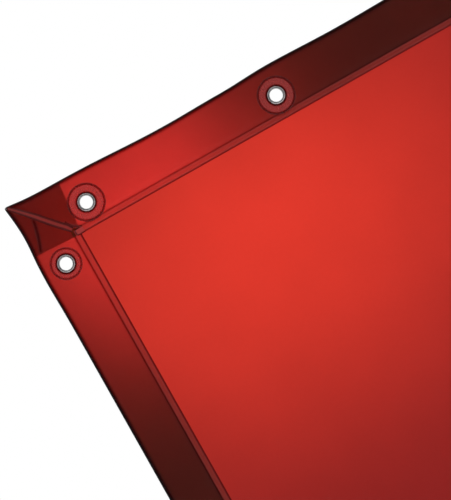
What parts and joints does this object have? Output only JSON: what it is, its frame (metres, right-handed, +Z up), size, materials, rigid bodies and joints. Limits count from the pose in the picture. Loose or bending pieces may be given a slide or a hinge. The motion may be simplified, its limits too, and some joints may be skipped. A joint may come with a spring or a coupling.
{
  "type": "welding curtain",
  "caption": "Translucent red vinyl welding curtain, hemmed and heat-welded all round, with metal eyelets on reinforcing discs along the top and in the sides.",
  "frame": {"origin": "centre of the middle top eyelet's hole, in the middle of the sheet's thickness", "axes": "+Z up along the curtain's height, +X to the right as seen from the front, +Y to the rear; the hems and discs face -Y"},
  "size_m": [1.4, 0.0062, 1.8],
  "materials": {
    "sheet_vinyl": "translucent single ply, soft satin gloss",
    "hem_vinyl": "translucent, two plies deep, soft gloss",
    "corner_vinyl": "translucent, several plies deep, dark",
    "disc_vinyl": "smooth glossy vinyl disc",
    "eyelet_metal": "bright plated metal, lightly brushed"
  },
  "bodies": {
    "header": {"header_sheet": "sheet_vinyl", "top_hem_flap": "hem_vinyl", "left_hem_upper_end": "hem_vinyl", "right_hem_upper_end": "hem_vinyl", "top_left_corner_ply": "corner_vinyl", "top_right_corner_ply": "corner_vinyl", "top_1_eyelet": "eyelet_metal", "top_1_washer": "eyelet_metal", "top_1_disc": "disc_vinyl", "top_2_eyelet": "eyelet_metal", "top_2_washer": "eyelet_metal", "top_2_disc": "disc_vinyl", "top_3_eyelet": "eyelet_metal", "top_3_washer": "eyelet_metal", "top_3_disc": "disc_vinyl", "top_4_eyelet": "eyelet_metal", "top_4_washer": "eyelet_metal", "top_4_disc": "disc_vinyl", "top_5_eyelet": "eyelet_metal", "top_5_washer": "eyelet_metal", "top_5_disc": "disc_vinyl", "top_6_eyelet": "eyelet_metal", "top_6_washer": "eyelet_metal", "top_6_disc": "disc_vinyl", "top_7_eyelet": "eyelet_metal", "top_7_washer": "eyelet_metal", "top_7_disc": "disc_vinyl"},
    "curtain": {"main_sheet": "sheet_vinyl", "left_hem_flap": "hem_vinyl", "right_hem_flap": "hem_vinyl", "bottom_hem_flap": "hem_vinyl", "bottom_left_corner_ply": "corner_vinyl", "bottom_right_corner_ply": "corner_vinyl", "left_upper_eyelet": "eyelet_metal", "left_upper_washer": "eyelet_metal", "left_upper_disc": "disc_vinyl", "left_lower_eyelet": "eyelet_metal", "left_lower_washer": "eyelet_metal", "left_lower_disc": "disc_vinyl", "right_upper_eyelet": "eyelet_metal", "right_upper_washer": "eyelet_metal", "right_upper_disc": "disc_vinyl", "right_lower_eyelet": "eyelet_metal", "right_lower_washer": "eyelet_metal", "right_lower_disc": "disc_vinyl"}
  },
  "joints": [
    {"name": "curtain_swing", "type": "hinge", "parent": "header", "child": "curtain", "pos_m": [0, 0, -0.02445], "axis": [1, 0, 0], "range_deg": [-90, 90]}
  ]
}
